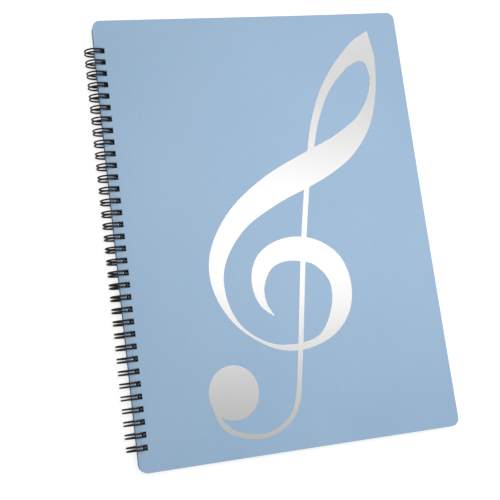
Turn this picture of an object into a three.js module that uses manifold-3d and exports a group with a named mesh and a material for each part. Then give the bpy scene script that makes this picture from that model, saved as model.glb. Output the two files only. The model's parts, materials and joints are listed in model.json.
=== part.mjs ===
// Wire-bound music folder, lying on its back cover. Millimetres, +Z up.
// X runs across the folder away from the binding, Y along the binding towards the top edge.

import * as THREE from 'three';
import { mergeVertices } from 'three/addons/utils/BufferGeometryUtils.js';
import Module from 'manifold-3d';

const wasm = await Module();
wasm.setup();

// Covers
const COVER_WIDTH = 234;
const COVER_HEIGHT = 319;
const COVER_THICKNESS = 0.8;
const COVER_CORNER_RADIUS = 5.8;

// Binding wire: pairs of loops in a standard three-to-the-inch pitch, as many as fit between the margins
const LOOP_PITCH = 25.4 / 3;
const LOOP_MARGIN = 16.8;
const TWIN_SPACING = 2.5;
const WIRE_DIAMETER = 1.1;
const RING_WIDTH = 14.3;
const RING_DEPTH = 11.9;
const WIRE_SIDES = 6;
const LEG_STEPS = 9;
const BEND_STEPS = 2;
const ROOT_BEND_RADIUS = 1.2;

// Punched holes, square, the same size in covers and sleeves
const HOLE_SIZE = 4.2;
const COVER_HOLE_MARGIN = 2.8;
const SLEEVE_HOLE_MARGIN = 2;

// Sleeves: the whole stack of clear pockets, punched as one block
const STACK_THICKNESS = 3.5;
const STACK_INSET = 4;
const STACK_CORNER_RADIUS = 2;
const STACK_GAP_FRONT = 0.3;
const STACK_GAP_BACK = 1.6;

// Foil treble clef on the front cover
const FOIL_THICKNESS = 0.12;
const CLEF_BOTTOM_MARGIN = 11.3;
const CLEF_TOP_MARGIN = 14.5;
const STROKE_STEPS_PER_POINT = 3;
const BALL_STEPS = 32;
const WEB_STEPS_PER_POINT = 3;

// Places that follow from the sizes above, measured from the ring's centre line
const wireRadius = WIRE_DIAMETER / 2;
const ringHalfWidth = RING_WIDTH / 2 - wireRadius;
const ringHalfDepth = RING_DEPTH / 2 - wireRadius;
const innerSpace = STACK_THICKNESS + STACK_GAP_FRONT + STACK_GAP_BACK;
const coverLevel = (innerSpace + COVER_THICKNESS) / 2;
const stackTop = innerSpace / 2 - STACK_GAP_FRONT;
const stackLevel = stackTop - STACK_THICKNESS / 2;
const rootLevel = (stackTop - STACK_THICKNESS - innerSpace / 2) / 2;
const loopCount = Math.floor((COVER_HEIGHT - 2 * LOOP_MARGIN) / LOOP_PITCH) + 1;
const firstLoopY = LOOP_MARGIN - COVER_HEIGHT / 2;

// Where the ring crosses a level above or below its centre line
function ringXAt(level) {
  return ringHalfWidth * Math.sqrt(1 - (level / ringHalfDepth) ** 2);
}

// As a cover swings, the wire crosses its plane between these two distances from the centre line
const nearestCrossing = Math.sqrt(ringHalfDepth ** 2 - coverLevel ** 2);
const furthestCrossing = Math.sqrt(ringHalfWidth ** 2 - coverLevel ** 2);
const coverHoleX = (nearestCrossing + furthestCrossing) / 2;
const coverLeft = coverHoleX - HOLE_SIZE / 2 - COVER_HOLE_MARGIN;
const coverCentreX = coverLeft + COVER_WIDTH / 2;
const stackHoleX = (ringXAt(stackTop) + ringHalfWidth) / 2;
const stackLeft = stackHoleX - HOLE_SIZE / 2 - SLEEVE_HOLE_MARGIN;
const stackRight = coverLeft + COVER_WIDTH - STACK_INSET;
const stackHeight = COVER_HEIGHT - 2 * STACK_INSET;

function loopY(index) {
  return firstLoopY + index * LOOP_PITCH;
}

// Plates

function roundedRectangle(centreX, width, height, radius) {
  const left = centreX - width / 2;
  const right = centreX + width / 2;
  const bottom = -height / 2;
  const top = height / 2;
  const shape = new THREE.Shape();
  shape.moveTo(left + radius, bottom);
  shape.lineTo(right - radius, bottom);
  shape.absarc(right - radius, bottom + radius, radius, -Math.PI / 2, 0);
  shape.lineTo(right, top - radius);
  shape.absarc(right - radius, top - radius, radius, 0, Math.PI / 2);
  shape.lineTo(left + radius, top);
  shape.absarc(left + radius, top - radius, radius, Math.PI / 2, Math.PI);
  shape.lineTo(left, bottom + radius);
  shape.absarc(left + radius, bottom + radius, radius, Math.PI, 1.5 * Math.PI);
  return shape;
}

function punchHoles(shape, holeX) {
  const half = HOLE_SIZE / 2;
  for (let i = 0; i < loopCount; i += 1) {
    const y = loopY(i);
    const hole = new THREE.Path();
    hole.moveTo(holeX - half, y - half);
    hole.lineTo(holeX - half, y + half);
    hole.lineTo(holeX + half, y + half);
    hole.lineTo(holeX + half, y - half);
    hole.closePath();
    shape.holes.push(hole);
  }
}

function plate(shape, thickness, level, curveSegments) {
  const geometry = new THREE.ExtrudeGeometry(shape, { depth: thickness, bevelEnabled: false, curveSegments });
  geometry.translate(0, 0, level - thickness / 2);
  return geometry;
}

function coverGeometry(level) {
  const shape = roundedRectangle(coverCentreX, COVER_WIDTH, COVER_HEIGHT, COVER_CORNER_RADIUS);
  punchHoles(shape, coverHoleX);
  return plate(shape, COVER_THICKNESS, level, 8);
}

function stackGeometry() {
  const width = stackRight - stackLeft;
  const shape = roundedRectangle(stackLeft + width / 2, width, stackHeight, STACK_CORNER_RADIUS);
  punchHoles(shape, stackHoleX);
  return plate(shape, STACK_THICKNESS, stackLevel, 4);
}

// Binding wire: one length of wire, bent to and fro into twin loops

function ringPoint(angle, y) {
  return new THREE.Vector3(ringHalfWidth * Math.cos(angle), y, ringHalfDepth * Math.sin(angle));
}

function ringDirection(angle) {
  return new THREE.Vector3(-ringHalfWidth * Math.sin(angle), 0, ringHalfDepth * Math.cos(angle)).normalize();
}

const tipRadius = TWIN_SPACING / 2;
const rootAngle = Math.asin(rootLevel / ringHalfDepth);
const tipAngle = 2 * Math.PI - Math.asin(coverLevel / ringHalfDepth);

// The leg starts a bend's radius past the root, and ends one before the tip
function angleAlong(angle, distance) {
  const speed = Math.hypot(ringHalfWidth * Math.sin(angle), ringHalfDepth * Math.cos(angle));
  return angle + distance / speed;
}

const legStart = angleAlong(rootAngle, ROOT_BEND_RADIUS);
const legEnd = angleAlong(tipAngle, -tipRadius);

function leg(y, upwards) {
  const points = [];
  for (let i = 0; i <= LEG_STEPS; i += 1) {
    const share = upwards ? i / LEG_STEPS : 1 - i / LEG_STEPS;
    points.push(ringPoint(legStart + share * (legEnd - legStart), y));
  }
  return points;
}

// A quarter bend from one direction to another, without its two end points
function quarterBend(start, along, towards, radius) {
  const points = [];
  for (let i = 1; i < BEND_STEPS; i += 1) {
    const turn = (i / BEND_STEPS) * Math.PI / 2;
    points.push(start.clone()
      .addScaledVector(along, radius * Math.sin(turn))
      .addScaledVector(towards, radius * (1 - Math.cos(turn))));
  }
  return points;
}

const toTop = new THREE.Vector3(0, 1, 0);
const toBottom = new THREE.Vector3(0, -1, 0);

function tipBend(y) {
  const out = ringDirection(legEnd);
  const lower = ringPoint(legEnd, y - tipRadius);
  const upper = ringPoint(legEnd, y + tipRadius);
  const crown = ringPoint(legEnd, y).addScaledVector(out, tipRadius);
  return [
    ...quarterBend(lower, out, toTop, tipRadius),
    crown,
    ...quarterBend(upper, out, toBottom, tipRadius).reverse(),
  ];
}

// From a leg's foot down to the level of the root, then along the binding
function rootCorner(foot, side) {
  const down = ringDirection(legStart).negate();
  const end = foot.clone()
    .addScaledVector(down, ROOT_BEND_RADIUS)
    .addScaledVector(side, ROOT_BEND_RADIUS);
  return [...quarterBend(foot, down, side, ROOT_BEND_RADIUS), end];
}

function wirePoints() {
  const points = [];
  const endStub = (LOOP_PITCH - TWIN_SPACING) / 2;
  for (let i = 0; i < loopCount; i += 1) {
    const y = loopY(i);
    const rising = leg(y - tipRadius, true);
    const falling = leg(y + tipRadius, false);
    const entry = rootCorner(rising[0], toBottom).reverse();
    const exit = rootCorner(falling[falling.length - 1], toTop);
    if (i === 0) {
      points.push(entry[0].clone().addScaledVector(toBottom, endStub - ROOT_BEND_RADIUS));
    }
    points.push(...entry, ...rising, ...tipBend(y), ...falling, ...exit);
    if (i === loopCount - 1) {
      points.push(exit[exit.length - 1].clone().addScaledVector(toTop, endStub - ROOT_BEND_RADIUS));
    }
  }
  return points;
}

// A path that takes one step from each of its points to the next
class BentWire extends THREE.Curve {
  constructor(points) {
    super();
    this.points = points;
  }

  getPoint(t, target = new THREE.Vector3()) {
    const place = t * (this.points.length - 1);
    const index = Math.min(Math.floor(place), this.points.length - 2);
    return target.lerpVectors(this.points[index], this.points[index + 1], place - index);
  }

  getPointAt(u, target) {
    return this.getPoint(u, target);
  }

  getTangentAt(u, target = new THREE.Vector3()) {
    const index = Math.round(u * (this.points.length - 1));
    const before = this.points[Math.max(index - 1, 0)];
    const after = this.points[Math.min(index + 1, this.points.length - 1)];
    const here = this.points[index];
    const arriving = here.clone().sub(before).normalize();
    const leaving = after.clone().sub(here).normalize();
    return target.addVectors(arriving, leaving).normalize();
  }
}

function wireSection() {
  const corners = [];
  for (let i = 0; i < WIRE_SIDES; i += 1) {
    const turn = (i / WIRE_SIDES) * 2 * Math.PI;
    corners.push(new THREE.Vector2(wireRadius * Math.cos(turn), wireRadius * Math.sin(turn)));
  }
  return new THREE.Shape(corners);
}

function wireGeometry() {
  const path = new BentWire(wirePoints());
  return new THREE.ExtrudeGeometry(wireSection(), {
    steps: path.points.length - 1,
    extrudePath: path,
    bevelEnabled: false,
  });
}

// Treble clef: two pen strokes, a ball and a web. Each row is x from the cover's middle, y from the clef's
// foot, then the stroke's width there. The rows are drawn for a clef of the drawn height and scaled to the
// cover. The hook ends inside the ball, with its outer edge on the ball's rim.
const CLEF_DRAWN_HEIGHT = 293.2;
const BALL = { x: -46.8, y: 33.4, halfWidth: 17.9, halfHeight: 19 };
const HOOK_MEETS_BALL = 1.12 * Math.PI;
const HOOK_END_WIDTH = 3;
const SPIRAL_AND_BOWL = [
  [-11, 83.2, 0.6], [-17.3, 91.7, 5], [-19.7, 101.7, 8], [-18, 112.7, 11.5], [-12, 122.7, 14],
  [0, 128.7, 16], [14, 129.2, 18], [27, 125.2, 18], [37, 116.2, 18], [42, 103.7, 16], [41.5, 89.7, 15],
  [37, 78.2, 13], [29, 68.2, 9], [20.5, 62.5, 5.6], [10, 59.7, 5], [-1, 59.3, 4.6], [-14, 61.9, 3],
  [-27.5, 69.7, 2], [-37.5, 79.2, 2.8], [-44.2, 90.7, 5], [-48, 103.2, 7.8], [-48.8, 115.7, 10.2],
  [-46, 128.7, 12.8], [-38, 143.2, 15], [-26, 156.7, 17.4], [-10, 168.2, 20.4], [7, 177.7, 22.6],
  [24, 185.1, 24], [41, 192.9, 23.6], [57, 201.5, 21], [69, 211.1, 17], [77.8, 220.2, 12.6],
  [84.5, 231.2, 8.6], [89.5, 243.7, 5.8], [92.2, 257.7, 5], [92.5, 272.7, 6.5], [92.6, 293.2, 0.6],
];
const STEM_AND_HOOK = [
  [92.6, 293.2, 0.6], [86, 283.2, 12], [74, 273.3, 10.6], [62, 261.1, 8.6], [52, 248.2, 6.8],
  [44, 232.7, 5.9], [38.2, 217.7, 5.4], [33.6, 200.7, 5], [26.5, 172.7, 4], [16, 120.2, 3.9],
  [6, 61.7, 3.8], [1, 34.8, 3.5], [-1.5, 23.8, 3.9], [-6.6, 13.1, 3.3], [-15.9, 5.5, 3.6],
  [-25.6, 2, 3.3], [-36.4, 2.1, 3.6], [-48.6, 5.8, 3.7], [-57.2, 13, 3.8],
  [
    BALL.x + (BALL.halfWidth - HOOK_END_WIDTH / 2) * Math.cos(HOOK_MEETS_BALL),
    BALL.y + (BALL.halfHeight - HOOK_END_WIDTH / 2) * Math.sin(HOOK_MEETS_BALL),
    HOOK_END_WIDTH,
  ],
];

// The web of foil between the strokes where they meet at the top: its lower edge rounds off the eye of the
// loop, and its other corners lie inside the strokes. Each row is x and y.
const WEB_EDGE = [
  [69, 263.9], [74, 265.9], [78.5, 268.1], [82.7, 269.4], [86.6, 267.9], [88.6, 263.4], [89.7, 254.5],
];
const WEB_CORNERS = [[92.4, 262], [92.4, 284], [84, 281.6], [73, 272]];

function strokeShape(rows) {
  const curve = new THREE.CatmullRomCurve3(rows.map(([x, y, width]) => new THREE.Vector3(x, y, width)));
  const count = (rows.length - 1) * STROKE_STEPS_PER_POINT;
  const samples = curve.getPoints(count);
  const left = [];
  const right = [];
  samples.forEach((sample, index) => {
    const before = samples[Math.max(index - 1, 0)];
    const after = samples[Math.min(index + 1, count)];
    const along = new THREE.Vector2(after.x - before.x, after.y - before.y).normalize();
    const across = new THREE.Vector2(-along.y, along.x).multiplyScalar(sample.z / 2);
    left.push(new THREE.Vector2(sample.x + across.x, sample.y + across.y));
    right.push(new THREE.Vector2(sample.x - across.x, sample.y - across.y));
  });
  return new THREE.Shape([...left, ...right.reverse()]);
}

function ballShape() {
  const corners = [];
  for (let i = 0; i < BALL_STEPS; i += 1) {
    const turn = (i / BALL_STEPS) * 2 * Math.PI;
    corners.push(new THREE.Vector2(
      BALL.x + BALL.halfWidth * Math.cos(turn),
      BALL.y + BALL.halfHeight * Math.sin(turn),
    ));
  }
  return new THREE.Shape(corners);
}

function webShape() {
  const [start, ...edge] = WEB_EDGE.map(([x, y]) => new THREE.Vector2(x, y));
  const shape = new THREE.Shape();
  shape.moveTo(start.x, start.y);
  shape.splineThru(edge);
  WEB_CORNERS.forEach(([x, y]) => shape.lineTo(x, y));
  return shape;
}

function toSolid(geometry) {
  const bare = geometry.clone();
  bare.deleteAttribute('normal');
  bare.deleteAttribute('uv');
  const merged = mergeVertices(bare, 1e-4);
  return new wasm.Manifold(new wasm.Mesh({
    numProp: 3,
    vertProperties: new Float32Array(merged.attributes.position.array),
    triVerts: new Uint32Array(merged.index.array),
  }));
}

function toGeometry(solid) {
  const mesh = solid.getMesh();
  const geometry = new THREE.BufferGeometry();
  geometry.setAttribute('position', new THREE.BufferAttribute(mesh.vertProperties, 3));
  geometry.setIndex(new THREE.BufferAttribute(mesh.triVerts, 1));
  geometry.computeVertexNormals();
  return geometry;
}

function clefGeometry() {
  const options = { depth: FOIL_THICKNESS, bevelEnabled: false, curveSegments: WEB_STEPS_PER_POINT };
  const shapes = [strokeShape(SPIRAL_AND_BOWL), strokeShape(STEM_AND_HOOK), ballShape(), webShape()];
  const solids = shapes.map((shape) => toSolid(new THREE.ExtrudeGeometry(shape, options)));
  const clef = solids.reduce((whole, solid) => whole.add(solid));
  const geometry = toGeometry(clef);
  const scale = (COVER_HEIGHT - CLEF_BOTTOM_MARGIN - CLEF_TOP_MARGIN) / CLEF_DRAWN_HEIGHT;
  geometry.scale(scale, scale, 1);
  const foot = CLEF_BOTTOM_MARGIN - COVER_HEIGHT / 2;
  geometry.translate(coverCentreX, foot, coverLevel + COVER_THICKNESS / 2);
  return geometry;
}

// Materials and assembly

const coverPlastic = new THREE.MeshStandardMaterial({ color: 0x96b1d0, roughness: 0.55, metalness: 0 });
const foil = new THREE.MeshStandardMaterial({ color: 0xdcdcdc, roughness: 0.35, metalness: 0.9 });
const blackWire = new THREE.MeshStandardMaterial({ color: 0x15161a, roughness: 0.35, metalness: 0.3 });
const clearSleeve = new THREE.MeshStandardMaterial({ color: 0xe4e9ee, roughness: 0.25, metalness: 0 });

function named(name, geometry, material) {
  const mesh = new THREE.Mesh(geometry, material);
  mesh.name = name;
  return mesh;
}

const folder = new THREE.Group();
folder.add(named('front_cover', coverGeometry(coverLevel), coverPlastic));
folder.add(named('back_cover', coverGeometry(-coverLevel), coverPlastic));
folder.add(named('sleeves', stackGeometry(), clearSleeve));
folder.add(named('wire_binding', wireGeometry(), blackWire));
folder.add(named('treble_clef_foil', clefGeometry(), foil));

// The origin is under the middle of the folder, at the level that the rings rest on
const leftmost = -ringHalfWidth - wireRadius;
const rightmost = coverLeft + COVER_WIDTH;
folder.position.set(-(leftmost + rightmost) / 2, 0, ringHalfDepth + wireRadius);

export default folder;
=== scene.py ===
# %% [markdown]
# # A wire-bound music folder
#
# The folder has two plastic covers, a stack of clear sleeves and a black wire that binds them. A silver
# treble clef is pressed on the front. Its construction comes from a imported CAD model, which this script
# loads as a fixed frame and dresses with finer meshes and with materials. Blender works in metres, so a
# size of the folder is written below as a number of millimetres times `MM`. The studio round it is larger,
# and its sizes are plain metres.

# %% Load the frame
import json
import math

import bmesh
import bpy
from mathutils import Matrix, Vector


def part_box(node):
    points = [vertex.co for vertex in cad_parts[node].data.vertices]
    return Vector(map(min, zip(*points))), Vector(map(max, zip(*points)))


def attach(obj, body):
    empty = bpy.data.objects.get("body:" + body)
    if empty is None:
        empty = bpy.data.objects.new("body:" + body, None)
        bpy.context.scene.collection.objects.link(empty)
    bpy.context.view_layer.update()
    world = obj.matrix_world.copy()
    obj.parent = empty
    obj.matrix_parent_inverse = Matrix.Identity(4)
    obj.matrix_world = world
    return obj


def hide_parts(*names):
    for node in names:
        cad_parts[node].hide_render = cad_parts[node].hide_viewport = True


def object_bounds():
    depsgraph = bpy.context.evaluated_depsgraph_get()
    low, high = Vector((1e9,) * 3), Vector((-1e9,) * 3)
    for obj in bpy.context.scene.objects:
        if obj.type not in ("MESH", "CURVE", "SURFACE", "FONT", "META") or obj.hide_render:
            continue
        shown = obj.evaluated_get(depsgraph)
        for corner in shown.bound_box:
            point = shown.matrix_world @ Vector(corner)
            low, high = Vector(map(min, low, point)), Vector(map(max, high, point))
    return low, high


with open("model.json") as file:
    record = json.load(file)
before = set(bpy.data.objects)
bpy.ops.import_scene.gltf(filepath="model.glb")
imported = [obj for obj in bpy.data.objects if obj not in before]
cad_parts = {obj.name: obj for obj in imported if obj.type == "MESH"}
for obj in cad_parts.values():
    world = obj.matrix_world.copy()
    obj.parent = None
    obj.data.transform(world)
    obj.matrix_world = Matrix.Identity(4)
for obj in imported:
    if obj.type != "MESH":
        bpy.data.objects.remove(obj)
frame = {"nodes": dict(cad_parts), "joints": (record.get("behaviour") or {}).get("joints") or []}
cad_low, cad_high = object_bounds()
MM = 0.001
print("frame nodes:", sorted(frame["nodes"]))
print("frame box in mm:", [round(v / MM, 1) for v in (*cad_low, *cad_high)])

# %% [markdown]
# ## Places shared by every piece
#
# Both covers turn about the middle line of the binding's loops. The joint in the frame record says where
# that line is, so the wire is drawn round it. The boxes of the cover and the sleeves give the rest.

# %% Find the binding's centre line and the boxes of the cover and the sleeves
hinge = next(j for j in frame["joints"] if j["name"] == "front_cover_hinge")
RING_CENTRE = Vector(hinge["pos_m"])
COVER_LOW, COVER_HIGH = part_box("front_cover")
STACK_LOW, STACK_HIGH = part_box("sleeves")
COVER_MIDDLE = (COVER_LOW + COVER_HIGH) / 2
print("ring centre in mm:", [round(v / MM, 2) for v in RING_CENTRE])

# %% [markdown]
# ## The camera
#
# The photo looks down on the folder from above its bottom left corner with a longish lens. A camera is
# easiest to reason about as a place, a point it looks at and a roll, so a small helper turns those three
# into the object's matrix. The lens and the point straight ahead are given in pixels, as they are measured
# on a picture 500 pixels wide. The shift moves the picture a little in the frame without turning the camera.

# %% Place the camera
COVER_CORNER = Vector((COVER_LOW.x, COVER_LOW.y, COVER_HIGH.z))
CAMERA_AT = COVER_CORNER + Vector((-79.8, 50.7, 650.0)) * MM
CAMERA_AIM = COVER_CORNER + Vector((106.5, 162.5, 0.0)) * MM
CAMERA_ROLL = math.radians(7.6)
IMAGE_PIXELS = 500
LENS_PIXELS = 950
PRINCIPAL_PIXEL = (262.2, 221.8)
NEAREST_SEEN = 10 * MM
FURTHEST_SEEN = 20.0


def add_object(name, data):
    piece = bpy.data.objects.new(name, data)
    bpy.context.collection.objects.link(piece)
    return piece


def add_camera(place, aim, roll):
    camera = add_object("camera", bpy.data.cameras.new("camera"))
    forward = (aim - place).normalized()
    along_binding = Vector((0, 1, 0))
    up = (along_binding - along_binding.dot(forward) * forward).normalized()
    right = forward.cross(up)
    rolled_up = up * math.cos(roll) + right * math.sin(roll)
    rolled_right = right * math.cos(roll) - up * math.sin(roll)
    turn = Matrix((rolled_right, rolled_up, -forward)).transposed()
    camera.matrix_world = Matrix.Translation(place) @ turn.to_4x4()
    return camera


camera = add_camera(CAMERA_AT, CAMERA_AIM, CAMERA_ROLL)
camera.data.lens = camera.data.sensor_width * LENS_PIXELS / IMAGE_PIXELS
camera.data.shift_x = (IMAGE_PIXELS / 2 - PRINCIPAL_PIXEL[0]) / IMAGE_PIXELS
camera.data.shift_y = (PRINCIPAL_PIXEL[1] - IMAGE_PIXELS / 2) / IMAGE_PIXELS
camera.data.clip_start = NEAREST_SEEN
camera.data.clip_end = FURTHEST_SEEN
bpy.context.scene.camera = camera
print("lens in mm:", round(camera.data.lens, 1))

# %% [markdown]
# ## Small helpers for node trees
#
# Materials, node groups and Geometry Nodes are all trees of nodes joined by links. One function adds a
# node with its settings, one starts a group with named sockets and one starts a material. They keep the
# cells below short.

# %% Node helpers


def set_inputs(tree, node, inputs):
    """Links an input to another node's socket, or gives it a plain value."""
    for name, value in inputs.items():
        if isinstance(value, bpy.types.NodeSocket):
            tree.links.new(value, node.inputs[name])
        else:
            node.inputs[name].default_value = value


def add_node(tree, kind, inputs=None, **settings):
    node = tree.nodes.new(kind)
    for name, value in settings.items():
        setattr(node, name, value)
    set_inputs(tree, node, inputs or {})
    return node


def new_group(name, kind, inputs, outputs):
    tree = bpy.data.node_groups.new(name, kind)
    for label, socket, default in inputs:
        item = tree.interface.new_socket(label, in_out="INPUT", socket_type=socket)
        if default is not None:
            item.default_value = default
    for label, socket in outputs:
        tree.interface.new_socket(label, in_out="OUTPUT", socket_type=socket)
    start = tree.nodes.new("NodeGroupInput")
    end = tree.nodes.new("NodeGroupOutput")
    return tree, start, end


def new_material(name):
    material = bpy.data.materials.new(name)
    material.use_nodes = True
    shader = material.node_tree.nodes["Principled BSDF"]
    return material, material.node_tree, shader


# %% [markdown]
# ## Grain, a shared effect
#
# Sheet plastic comes off an embossing roller with a fine, slightly leathery grain. The foil pressed on it
# shows the same grain, only flatter. The wire's coating and the sleeves' film vary in much the same way, so
# the effect is a node group that all four share, each with its own values. It mixes two noises: a coarse
# one that clouds the surface and a fine one that pits it.

# %% Build the grain group
FINE_DETAIL = 3.0
CLOUD_DETAIL = 2.0


def build_grain():
    tree, start, end = new_group(
        "sheet_grain",
        "ShaderNodeTree",
        [
            ("Fine Scale", "NodeSocketFloat", 1400.0),
            ("Cloud Scale", "NodeSocketFloat", 9.0),
            ("Low Colour", "NodeSocketColor", (0.3, 0.4, 0.6, 1)),
            ("High Colour", "NodeSocketColor", (0.4, 0.5, 0.7, 1)),
            ("Low Roughness", "NodeSocketFloat", 0.4),
            ("High Roughness", "NodeSocketFloat", 0.5),
        ],
        [
            ("Colour", "NodeSocketColor"),
            ("Roughness", "NodeSocketFloat"),
            ("Height", "NodeSocketFloat"),
        ],
    )
    where = add_node(tree, "ShaderNodeTexCoord")
    fine = add_node(
        tree, "ShaderNodeTexNoise",
        {
            "Vector": where.outputs["Object"], "Scale": start.outputs["Fine Scale"],
            "Detail": FINE_DETAIL,
        },
    )
    cloud = add_node(
        tree, "ShaderNodeTexNoise",
        {
            "Vector": where.outputs["Object"], "Scale": start.outputs["Cloud Scale"],
            "Detail": CLOUD_DETAIL,
        },
    )
    both = add_node(
        tree, "ShaderNodeMath",
        {0: fine.outputs["Fac"], 1: cloud.outputs["Fac"]}, operation="ADD",
    )
    half = add_node(tree, "ShaderNodeMath", {0: both.outputs[0], 1: 0.5}, operation="MULTIPLY")
    colour = add_node(tree, "ShaderNodeMix", {0: half.outputs[0]}, data_type="RGBA")
    tree.links.new(start.outputs["Low Colour"], colour.inputs[6])
    tree.links.new(start.outputs["High Colour"], colour.inputs[7])
    rough = add_node(
        tree, "ShaderNodeMapRange",
        {
            "Value": half.outputs[0],
            "To Min": start.outputs["Low Roughness"],
            "To Max": start.outputs["High Roughness"],
        },
    )
    tree.links.new(colour.outputs[2], end.inputs["Colour"])
    tree.links.new(rough.outputs[0], end.inputs["Roughness"])
    tree.links.new(fine.outputs["Fac"], end.inputs["Height"])
    return tree


grain = build_grain()
print("grain outputs:", [item.name for item in grain.interface.items_tree if item.in_out == "OUTPUT"])

# %% [markdown]
# Each material plugs the group into its own Principled BSDF in the same way, so one function does it. The
# group puts out a height too, and a Bump node turns that into tilted normals where the real surface is
# pitted or rippled. The wire's coating is smooth and has no bump.

# %% Make a material that shows the grain


def grained_material(name, grain_values, pit_strength=0.0, pit_depth=0.0):
    material, tree, shader = new_material(name)
    skin = add_node(tree, "ShaderNodeGroup", grain_values, node_tree=grain)
    tree.links.new(skin.outputs["Colour"], shader.inputs["Base Color"])
    tree.links.new(skin.outputs["Roughness"], shader.inputs["Roughness"])
    if pit_strength > 0:
        bump = add_node(
            tree, "ShaderNodeBump",
            {"Strength": pit_strength, "Distance": pit_depth, "Height": skin.outputs["Height"]},
        )
        tree.links.new(bump.outputs[0], shader.inputs["Normal"])
    print("material:", name)
    return material, shader


# %% [markdown]
# ## The cover's plastic
#
# Pale blue polypropylene, matt but not dull: it takes a soft sheen from the lamps. An image of real sheet
# could give the grain, but the group's noises fit any size and need no file. The pits are only a few
# hundredths of a millimetre deep, as an embossing roller leaves them.

# %% Cover plastic
COVER_DEEP = (0.245, 0.398, 0.575, 1)
COVER_PALE = (0.365, 0.518, 0.699, 1)
PLASTIC_IOR = 1.49


def cover_material():
    material, shader = grained_material(
        "pale_blue_plastic",
        {
            "Fine Scale": 800.0, "Cloud Scale": 12.0,
            "Low Colour": COVER_DEEP, "High Colour": COVER_PALE,
            "Low Roughness": 0.36, "High Roughness": 0.46,
        },
        pit_strength=0.25, pit_depth=0.05 * MM,
    )
    shader.inputs["IOR"].default_value = PLASTIC_IOR
    return material


plastic = cover_material()

# %% [markdown]
# ## The foil
#
# Hot foil is a metal film a few microns thick, so it mirrors the room softly. Its own colour is a
# neutral mid grey: the bright band across the clef in the photo is the reflection of a long softbox, and
# a real lamp of that shape makes it here. A band painted into the colour would be simpler, but it would
# stay put when the camera or the cover moves.

# %% Silver foil
FOIL_DEEP = (0.325, 0.323, 0.323, 1)
FOIL_PALE = (0.385, 0.383, 0.383, 1)


def foil_material():
    material, shader = grained_material(
        "silver_foil",
        {
            "Fine Scale": 1100.0, "Cloud Scale": 14.0,
            "Low Colour": FOIL_DEEP, "High Colour": FOIL_PALE,
            "Low Roughness": 0.26, "High Roughness": 0.36,
        },
        pit_strength=0.12, pit_depth=0.03 * MM,
    )
    shader.inputs["Metallic"].default_value = 1.0
    return material


foil = foil_material()

# %% [markdown]
# ## The wire's coating
#
# The steel wire is dipped in black nylon. The coating is smooth and slightly soft in its gloss, and thins
# to a dark grey where the wire was bent and handled. Plain black would do from afar, but a noise of low
# contrast keeps 34 equal loops from looking stamped.

# %% Black wire coating
COATING_DEEP = (0.003, 0.003, 0.004, 1)
COATING_WORN = (0.010, 0.010, 0.013, 1)
COATING_SPECULAR = 0.22


def wire_material():
    material, shader = grained_material(
        "black_wire_coating",
        {
            "Fine Scale": 900.0, "Cloud Scale": 120.0,
            "Low Colour": COATING_DEEP, "High Colour": COATING_WORN,
            "Low Roughness": 0.30, "High Roughness": 0.44,
        },
    )
    shader.inputs["Specular IOR Level"].default_value = COATING_SPECULAR
    return material


coating = wire_material()

# %% [markdown]
# ## The sleeves' film
#
# One clear film is nearly invisible, but a stack of them looks milky and slightly blue, because every
# surface scatters a little light. A stack of truly clear sheets would be slow and noisy to render, so the
# film is a pale plastic with a clear gloss on top.

# %% Sleeve film
FILM_DEEP = (0.62, 0.66, 0.70, 1)
FILM_PALE = (0.74, 0.78, 0.82, 1)
FILM_COAT = 0.4


def film_material():
    material, shader = grained_material(
        "sleeve_film",
        {
            "Fine Scale": 500.0, "Cloud Scale": 22.0,
            "Low Colour": FILM_DEEP, "High Colour": FILM_PALE,
            "Low Roughness": 0.12, "High Roughness": 0.26,
        },
        pit_strength=0.2, pit_depth=0.2 * MM,
    )
    shader.inputs["Coat Weight"].default_value = FILM_COAT
    return material


film = film_material()

# %% [markdown]
# ## Covers
#
# The CAD cover has the right outline and holes, but its edges are razor sharp and its faces are long thin
# triangles. A copy of its mesh is welded, cut into a grid so that it can bend, and given a slight curl
# at the outer corners, as a plastic cover gets from being opened. Bevel then rounds the cut edges.

# %% Copy a CAD mesh so that it can bend
GRID_STEP = 10 * MM
WELD = 0.002 * MM
FLAT_WITHIN = math.radians(0.5)
SHEET_SHARP_FROM = math.radians(35)


def weld_and_flatten(work):
    """Joins the CAD's loose triangles and merges those that lie in one plane."""
    bmesh.ops.remove_doubles(work, verts=work.verts, dist=WELD)
    bmesh.ops.dissolve_limit(work, angle_limit=FLAT_WITHIN, verts=work.verts, edges=work.edges)


def cut_grid(work, low, high):
    """Cuts a mesh along evenly spaced upright planes, across and then along."""
    for axis in (0, 1):
        normal = Vector((axis == 0, axis == 1, 0))
        count = int((high[axis] - low[axis]) / GRID_STEP)
        for i in range(1, count + 1):
            place = Vector((0, 0, 0))
            place[axis] = low[axis] + i * GRID_STEP
            parts = work.verts[:] + work.edges[:] + work.faces[:]
            bmesh.ops.bisect_plane(work, geom=parts, plane_co=place, plane_no=normal, dist=WELD)


def cad_copy(node, name, material, bends=True):
    mesh = frame["nodes"][node].data.copy()
    mesh.name = name
    work = bmesh.new()
    work.from_mesh(mesh)
    weld_and_flatten(work)
    if bends:
        cut_grid(work, *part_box(node))
    work.to_mesh(mesh)
    work.free()
    mesh.materials.clear()
    mesh.materials.append(material)
    return add_object(name, mesh)


def smooth(piece, sharp_from):
    for face in piece.data.polygons:
        face.use_smooth = True
    piece.data.set_sharp_from_angle(angle=sharp_from)


# %% Curl the front cover and foil alike
CURL = 1.6 * MM
CURL_STARTS = 0.45


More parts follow.
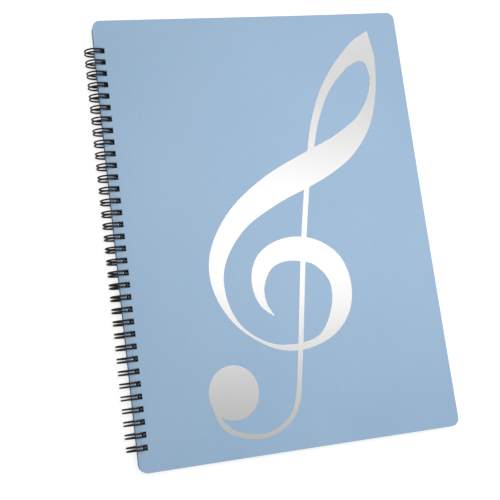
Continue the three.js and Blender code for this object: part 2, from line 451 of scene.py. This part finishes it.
def curl_at(point):
    """How far the front cover lifts: nothing near the binding, most at the two outer corners."""
    across = (point.x - COVER_LOW.x) / (COVER_HIGH.x - COVER_LOW.x)
    along = abs(point.y - COVER_MIDDLE.y) / (COVER_HIGH.y - COVER_MIDDLE.y)
    reach = max(0.0, (across - CURL_STARTS) / (1 - CURL_STARTS))
    return CURL * reach ** 2 * along ** 2


def curl(piece):
    for vertex in piece.data.vertices:
        vertex.co.z += curl_at(vertex.co)


# %% Round the cut edges
EDGE_RADIUS = 0.18 * MM
EDGE_STEPS = 2
ROUNDED_FROM = math.radians(60)


def round_edges(piece):
    bevel = piece.modifiers.new("rounded_edges", "BEVEL")
    bevel.width = EDGE_RADIUS
    bevel.segments = EDGE_STEPS
    bevel.limit_method = "ANGLE"
    bevel.angle_limit = ROUNDED_FROM
    bevel.harden_normals = True


front_sheet = cad_copy("front_cover", "front_cover_sheet", plastic)
curl(front_sheet)
back_sheet = cad_copy("back_cover", "back_cover_sheet", plastic)
for sheet in (front_sheet, back_sheet):
    smooth(sheet, SHEET_SHARP_FROM)
    round_edges(sheet)
    print(sheet.name, "faces:", len(sheet.data.polygons))

# %% [markdown]
# ## The clef
#
# The foil is pressed on the cover, so a copy of its mesh gets the same curl. Its strokes are cut into many
# thin slivers, and a sliver that is bent can point a little wrong and catch the light as a bright speck. A
# finer mesh would only make smaller slivers. So the broad faces take custom normals, worked out from the
# slope of the curl itself, and the thin sides keep their own.

# %% Make the clef
SLOPE_STEP = 0.5 * MM
BROAD_FACE = 0.7


def curl_normal(point):
    """The direction straight out of the curled cover at a point."""
    slopes = []
    for side in (Vector((SLOPE_STEP, 0, 0)), Vector((0, SLOPE_STEP, 0))):
        slopes.append((curl_at(point + side) - curl_at(point - side)) / (2 * SLOPE_STEP))
    return Vector((-slopes[0], -slopes[1], 1)).normalized()


def shade_as_sheet(piece):
    """Gives a sheet's broad faces the curl's own normals."""
    mesh = piece.data
    normals = [Vector((0, 0, 1))] * len(mesh.loops)
    for face in mesh.polygons:
        for index in face.loop_indices:
            if abs(face.normal.z) > BROAD_FACE:
                place = mesh.vertices[mesh.loops[index].vertex_index].co
                normals[index] = curl_normal(place) * math.copysign(1, face.normal.z)
            else:
                normals[index] = face.normal.copy()
    mesh.normals_split_custom_set(normals)


clef = cad_copy("treble_clef_foil", "treble_clef", foil)
curl(clef)
smooth(clef, SHEET_SHARP_FROM)
shade_as_sheet(clef)
print("clef faces:", len(clef.data.polygons))

# %% [markdown]
# ## The binding wire
#
# One wire is bent to and fro: up round the ring, through the holes, back again beside itself, and along
# to the next hole. Every stretch of it between two neighbouring holes is the same, so one unit is drawn
# as a line of points and Geometry Nodes repeat it. The ring is a slightly flattened circle.

# %% Draw one unit of the wire
RING_HALF_WIDTH = 6.6 * MM
RING_HALF_DEPTH = 5.35 * MM
WIRE_RADIUS = 0.6 * MM
TWIN_SPACING = 2.3 * MM
LOOP_PITCH = 25.4 / 3 * MM
LOOP_COUNT = 34
LOOP_BOTTOM_MARGIN = 16.8 * MM
ROOT_BEND_RADIUS = 1.2 * MM
ROOT_LEVEL = -1.9 * MM
TIP_LEVEL = -3.1 * MM
LEG_STEPS = 30
BEND_STEPS = 5
FIRST_LOOP_Y = COVER_LOW.y + LOOP_BOTTOM_MARGIN


def ring_point(angle, y=0.0):
    across = RING_HALF_WIDTH * math.cos(angle)
    height = RING_HALF_DEPTH * math.sin(angle)
    return RING_CENTRE + Vector((across, y, height))


def ring_slope(angle):
    """How the place on the ring changes with the angle."""
    return Vector((-RING_HALF_WIDTH * math.sin(angle), 0, RING_HALF_DEPTH * math.cos(angle)))


def angle_along(angle, distance):
    """The angle a short way further round the ring."""
    return angle + distance / ring_slope(angle).length


def quarter_bend(start, along, towards, radius):
    turns = [math.pi / 2 * i / BEND_STEPS for i in range(1, BEND_STEPS)]
    return [
        start + along * radius * math.sin(turn) + towards * radius * (1 - math.cos(turn))
        for turn in turns
    ]


def wire_unit():
    """Half a root bend, the rising leg, the tip, the falling leg and half a root bend."""
    up, down = Vector((0, 1, 0)), Vector((0, -1, 0))
    half = TWIN_SPACING / 2
    root = math.asin(ROOT_LEVEL / RING_HALF_DEPTH)
    tip = 2 * math.pi + math.asin(TIP_LEVEL / RING_HALF_DEPTH)
    first = angle_along(root, ROOT_BEND_RADIUS)
    last = angle_along(tip, -half)
    angles = [first + (last - first) * i / LEG_STEPS for i in range(LEG_STEPS + 1)]
    rising = [ring_point(angle, -half) for angle in angles]
    foot = rising[0]
    under = -ring_slope(first).normalized()
    corner = quarter_bend(foot, under, down, ROOT_BEND_RADIUS)
    corner_end = foot + under * ROOT_BEND_RADIUS + down * ROOT_BEND_RADIUS
    root_middle = Vector((corner_end.x, RING_CENTRE.y - LOOP_PITCH / 2, corner_end.z))
    over = ring_slope(last).normalized()
    tip_bend = quarter_bend(rising[-1], over, up, half)
    crown = ring_point(last) + over * half
    lower = [root_middle, corner_end, *reversed(corner), *rising, *tip_bend]
    upper = [Vector((p.x, 2 * RING_CENTRE.y - p.y, p.z)) for p in reversed(lower)]
    return [*lower, crown, *upper]


def line_object(name, points):
    mesh = bpy.data.meshes.new(name)
    mesh.from_pydata(points, [(i, i + 1) for i in range(len(points) - 1)], [])
    return add_object(name, mesh)


wire = line_object("wire_loops", wire_unit())
print("points in one unit:", len(wire.data.vertices))

# %% [markdown]
# The tree below turns that line into a round wire and copies it along the binding. The copies meet end to
# end, so a weld after Realize Instances makes them one wire. Its inputs are set by their identifiers,
# because a modifier knows a socket by its identifier and not by its name.

# %% Repeat the unit with Geometry Nodes
JOIN_WITHIN = 0.01 * MM


def build_loops():
    tree, start, end = new_group(
        "repeat_wire_loops",
        "GeometryNodeTree",
        [
            ("Geometry", "NodeSocketGeometry", None),
            ("Count", "NodeSocketInt", 3),
            ("Pitch", "NodeSocketFloat", 0.01),
            ("First", "NodeSocketFloat", 0.0),
            ("Radius", "NodeSocketFloat", 0.001),
            ("Sides", "NodeSocketInt", 8),
            ("Material", "NodeSocketMaterial", None),
        ],
        [("Geometry", "NodeSocketGeometry")],
    )
    line = add_node(tree, "GeometryNodeMeshToCurve", {"Mesh": start.outputs["Geometry"]})
    section = add_node(
        tree, "GeometryNodeCurvePrimitiveCircle",
        {"Resolution": start.outputs["Sides"], "Radius": start.outputs["Radius"]},
    )
    tube = add_node(
        tree, "GeometryNodeCurveToMesh",
        {"Curve": line.outputs[0], "Profile Curve": section.outputs[0], "Fill Caps": False},
    )
    step = add_node(tree, "ShaderNodeCombineXYZ", {"Y": start.outputs["Pitch"]})
    first = add_node(tree, "ShaderNodeCombineXYZ", {"Y": start.outputs["First"]})
    places = add_node(
        tree, "GeometryNodeMeshLine",
        {
            "Count": start.outputs["Count"],
            "Start Location": first.outputs[0],
            "Offset": step.outputs[0],
        },
    )
    copies = add_node(
        tree, "GeometryNodeInstanceOnPoints", {"Points": places.outputs[0], "Instance": tube.outputs[0]}
    )
    real = add_node(tree, "GeometryNodeRealizeInstances", {"Geometry": copies.outputs[0]})
    weld = add_node(
        tree, "GeometryNodeMergeByDistance", {"Geometry": real.outputs[0], "Distance": JOIN_WITHIN}
    )
    coat = add_node(
        tree, "GeometryNodeSetMaterial",
        {"Geometry": weld.outputs[0], "Material": start.outputs["Material"]},
    )
    tree.links.new(coat.outputs[0], end.inputs[0])
    return tree


def apply_nodes(piece, tree, values):
    """Runs a tree on a piece, keeps the result as its plain mesh and removes the modifier."""
    modifier = piece.modifiers.new(tree.name, "NODES")
    modifier.node_group = tree
    for item in tree.interface.items_tree:
        if item.in_out == "INPUT" and item.name in values:
            modifier[item.identifier] = values[item.name]
    bpy.context.view_layer.update()
    evaluated = piece.evaluated_get(bpy.context.evaluated_depsgraph_get())
    result = bpy.data.meshes.new_from_object(evaluated)
    piece.modifiers.remove(modifier)
    old = piece.data
    piece.data = result
    result.name = piece.name
    bpy.data.meshes.remove(old)
    return piece


# %% Make the binding wire
WIRE_SIDES = 10
WIRE_SHARP_FROM = math.radians(60)


def close_ends(piece):
    """Fills the two open ends of a tube and turns its faces outwards."""
    work = bmesh.new()
    work.from_mesh(piece.data)
    open_edges = [edge for edge in work.edges if edge.is_boundary]
    bmesh.ops.holes_fill(work, edges=open_edges, sides=0)
    bmesh.ops.recalc_face_normals(work, faces=work.faces)
    work.to_mesh(piece.data)
    work.free()


apply_nodes(
    wire, build_loops(),
    {
        "Count": LOOP_COUNT, "Pitch": LOOP_PITCH, "First": FIRST_LOOP_Y - RING_CENTRE.y,
        "Radius": WIRE_RADIUS, "Sides": WIRE_SIDES, "Material": coating,
    },
)
close_ends(wire)
smooth(wire, WIRE_SHARP_FROM)
print("wire faces:", len(wire.data.polygons))

# %% [markdown]
# ## The sleeves
#
# The CAD model has the stack as one punched block. Up close it is many films, so the block's mesh is
# squashed to the thickness of one film and Geometry Nodes stack copies of it with a small air gap. A
# random nudge with a fixed seed keeps the edges from lining up like a machined block.

# %% Stack the films
SLEEVE_COUNT = 22
FILM_THICKNESS = 0.14 * MM
FILM_NUDGE = 0.25 * MM
STACK_SEED = 7


def single_film():
    piece = cad_copy("sleeves", "sleeve_stack", film, bends=False)
    block = STACK_HIGH.z - STACK_LOW.z
    for vertex in piece.data.vertices:
        vertex.co.z = STACK_LOW.z + (vertex.co.z - STACK_LOW.z) / block * FILM_THICKNESS
    return piece


def build_stack():
    tree, start, end = new_group(
        "stack_films",
        "GeometryNodeTree",
        [
            ("Geometry", "NodeSocketGeometry", None),
            ("Count", "NodeSocketInt", 3),
            ("Spacing", "NodeSocketFloat", 0.001),
            ("Nudge", "NodeSocketFloat", 0.0),
            ("Seed", "NodeSocketInt", 0),
            ("Material", "NodeSocketMaterial", None),
        ],
        [("Geometry", "NodeSocketGeometry")],
    )
    step = add_node(tree, "ShaderNodeCombineXYZ", {"Z": start.outputs["Spacing"]})
    places = add_node(
        tree, "GeometryNodeMeshLine", {"Count": start.outputs["Count"], "Offset": step.outputs[0]}
    )
    back = add_node(tree, "ShaderNodeMath", {0: start.outputs["Nudge"], 1: -1.0}, operation="MULTIPLY")
    low = add_node(tree, "ShaderNodeCombineXYZ", {"X": back.outputs[0], "Y": back.outputs[0]})
    high = add_node(tree, "ShaderNodeCombineXYZ", {"Y": start.outputs["Nudge"]})
    nudge = add_node(
        tree, "FunctionNodeRandomValue", {"Seed": start.outputs["Seed"]}, data_type="FLOAT_VECTOR"
    )
    tree.links.new(low.outputs[0], nudge.inputs[0])
    tree.links.new(high.outputs[0], nudge.inputs[1])
    moved = add_node(
        tree, "GeometryNodeSetPosition", {"Geometry": places.outputs[0], "Offset": nudge.outputs[0]}
    )
    copies = add_node(
        tree, "GeometryNodeInstanceOnPoints",
        {"Points": moved.outputs[0], "Instance": start.outputs["Geometry"]},
    )
    real = add_node(tree, "GeometryNodeRealizeInstances", {"Geometry": copies.outputs[0]})
    skin = add_node(
        tree, "GeometryNodeSetMaterial",
        {"Geometry": real.outputs[0], "Material": start.outputs["Material"]},
    )
    tree.links.new(skin.outputs[0], end.inputs[0])
    return tree


stack = apply_nodes(
    single_film(), build_stack(),
    {
        "Count": SLEEVE_COUNT,
        "Spacing": (STACK_HIGH.z - STACK_LOW.z - FILM_THICKNESS) / (SLEEVE_COUNT - 1),
        "Nudge": FILM_NUDGE, "Seed": STACK_SEED, "Material": film,
    },
)
print("stack faces:", len(stack.data.polygons))

# %% [markdown]
# ## Which CAD node each piece stands for
#
# A dressed piece hides the plain solid it replaces and rides on the same body, so it swings with the
# cover in every pose. The slot names the finish in the part's record.

# %% Join the pieces to the frame
for piece, node, body, slot in (
    (front_sheet, "front_cover", "front", "cover_plastic"),
    (back_sheet, "back_cover", "back", "cover_plastic"),
    (clef, "treble_clef_foil", "front", "silver_foil"),
    (wire, "wire_binding", "binding", "black_wire"),
    (stack, "sleeves", "binding", "clear_sleeve"),
):
    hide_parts(node)
    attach(piece, body)
    print(piece.name, "replaces", node, "and rides on", body)

# %% [markdown]
# ## Floor and light
#
# The photo's background is plain white. The floor is a pale matt sheet that the world lights evenly, and
# a glow for camera, glossy and transmission rays brings it to white without lighting the folder more.
# Light that the folder blocks is still missing there, so its soft shadow stays. An Ambient Occlusion node
# takes the glow away close under the folder, which paints shade under it and in the punched holes, so that
# they look dark.

# %% Floor
FLOOR_SIZE = 12.0
FLOOR_COLOUR = 0.45
FLOOR_GLOW = 0.76
PAINTED_SHADE_WITHIN = 6 * MM
HIDDEN_AT = 0.2
OPEN_AT = 0.5
FLOOR_ROUGHNESS = 0.9
WHITE = (1, 1, 1, 1)


def seen_directly(tree):
    """1 for camera, glossy and transmission rays, 0 for the diffuse light that reaches the folder."""
    path = add_node(tree, "ShaderNodeLightPath")
    first = add_node(
        tree, "ShaderNodeMath",
        {0: path.outputs["Is Camera Ray"], 1: path.outputs["Is Glossy Ray"]}, operation="MAXIMUM",
    )
    return add_node(
        tree, "ShaderNodeMath",
        {0: first.outputs[0], 1: path.outputs["Is Transmission Ray"]}, operation="MAXIMUM",
    ).outputs[0]


def add_floor():
    mesh = bpy.data.meshes.new("floor")
    half = FLOOR_SIZE / 2
    corners = [(-half, -half, 0), (half, -half, 0), (half, half, 0), (-half, half, 0)]
    mesh.from_pydata(corners, [], [(0, 1, 2, 3)])
    piece = add_object("floor", mesh)
    piece.location.z = cad_low.z
    material, tree, shader = new_material("white_floor")
    shader.inputs["Base Color"].default_value = (FLOOR_COLOUR, FLOOR_COLOUR, FLOOR_COLOUR, 1)
    shader.inputs["Roughness"].default_value = FLOOR_ROUGHNESS
    shader.inputs["Specular IOR Level"].default_value = 0.0
    shader.inputs["Emission Color"].default_value = WHITE
    # Painted shade: the glow fades out close under the folder and in its punched holes.
    painted_shade_ao = add_node(tree, "ShaderNodeAmbientOcclusion", {"Distance": PAINTED_SHADE_WITHIN})
    level = add_node(
        tree, "ShaderNodeMapRange",
        {
            "Value": painted_shade_ao.outputs["AO"], "From Min": HIDDEN_AT, "From Max": OPEN_AT,
            "To Max": FLOOR_GLOW,
        },
    )
    glow = add_node(
        tree, "ShaderNodeMath", {0: seen_directly(tree), 1: level.outputs[0]}, operation="MULTIPLY"
    )
    tree.links.new(glow.outputs[0], shader.inputs["Emission Strength"])
    mesh.materials.append(material)
    print("floor at mm:", round(piece.location.z / MM, 2))


add_floor()

# %% [markdown]
# The world gives most of the even light. A soft spotlight aimed at the middle of the cover gives the rest
# and fades towards the corners; it is left out of reflections. The two softboxes make the bright band
# across the foil and the weaker light at the clef's top.

# %% World and lamps
WORLD_LIGHT = 0.54
SPOT_AT = Vector((0.30, 0.32, 1.4))
SPOT_AIM = Vector((0.07, 0.0, 0.0))
SPOT_CONE = math.radians(25)
SPOT_RADIUS = 0.18
SPOT_WATTS = 18.5
SOFTBOX_TURN = math.radians(-8.5)
STRIP_AT = Vector((0.45, 0.215, 1.5))
STRIP_SIZE = (1.1, 0.38)
STRIP_WATTS = 5.2
TOP_BOX_AT = Vector((0.55, 1.0, 1.5))
TOP_BOX_SIZE = (0.9, 0.4)
TOP_BOX_WATTS = 3.9


def set_world():
    world = bpy.data.worlds.new("studio")
    world.use_nodes = True
    bpy.context.scene.world = world
    tree = world.node_tree
    background = tree.nodes["Background"]
    direct = seen_directly(tree)
    level = add_node(
        tree, "ShaderNodeMapRange", {"Value": direct, "To Min": WORLD_LIGHT, "To Max": 1.0}
    )
    tree.links.new(level.outputs[0], background.inputs["Strength"])
    background.inputs["Color"].default_value = WHITE


def add_lamp(name, kind, place, watts):
    lamp = add_object(name, bpy.data.lights.new(name, kind))
    lamp.data.energy = watts
    lamp.location = place
    print("lamp:", name, watts, "W")
    return lamp


def add_softbox(name, place, size, watts):
    """A level softbox that shines straight down, turned to lie along the picture."""
    lamp = add_lamp(name, "AREA", place, watts)
    lamp.data.shape = "RECTANGLE"
    lamp.data.size, lamp.data.size_y = size
    lamp.rotation_euler.z = SOFTBOX_TURN


set_world()
spot = add_lamp("soft_spot", "SPOT", SPOT_AT, SPOT_WATTS)
spot.rotation_euler = (SPOT_AIM - SPOT_AT).to_track_quat("-Z", "Y").to_euler()
spot.data.spot_size = SPOT_CONE
spot.data.spot_blend = 1.0
spot.data.shadow_soft_size = SPOT_RADIUS
spot.visible_glossy = False
add_softbox("long_softbox", STRIP_AT, STRIP_SIZE, STRIP_WATTS)
add_softbox("top_softbox", TOP_BOX_AT, TOP_BOX_SIZE, TOP_BOX_WATTS)
bpy.context.scene.view_settings.view_transform = "Standard"
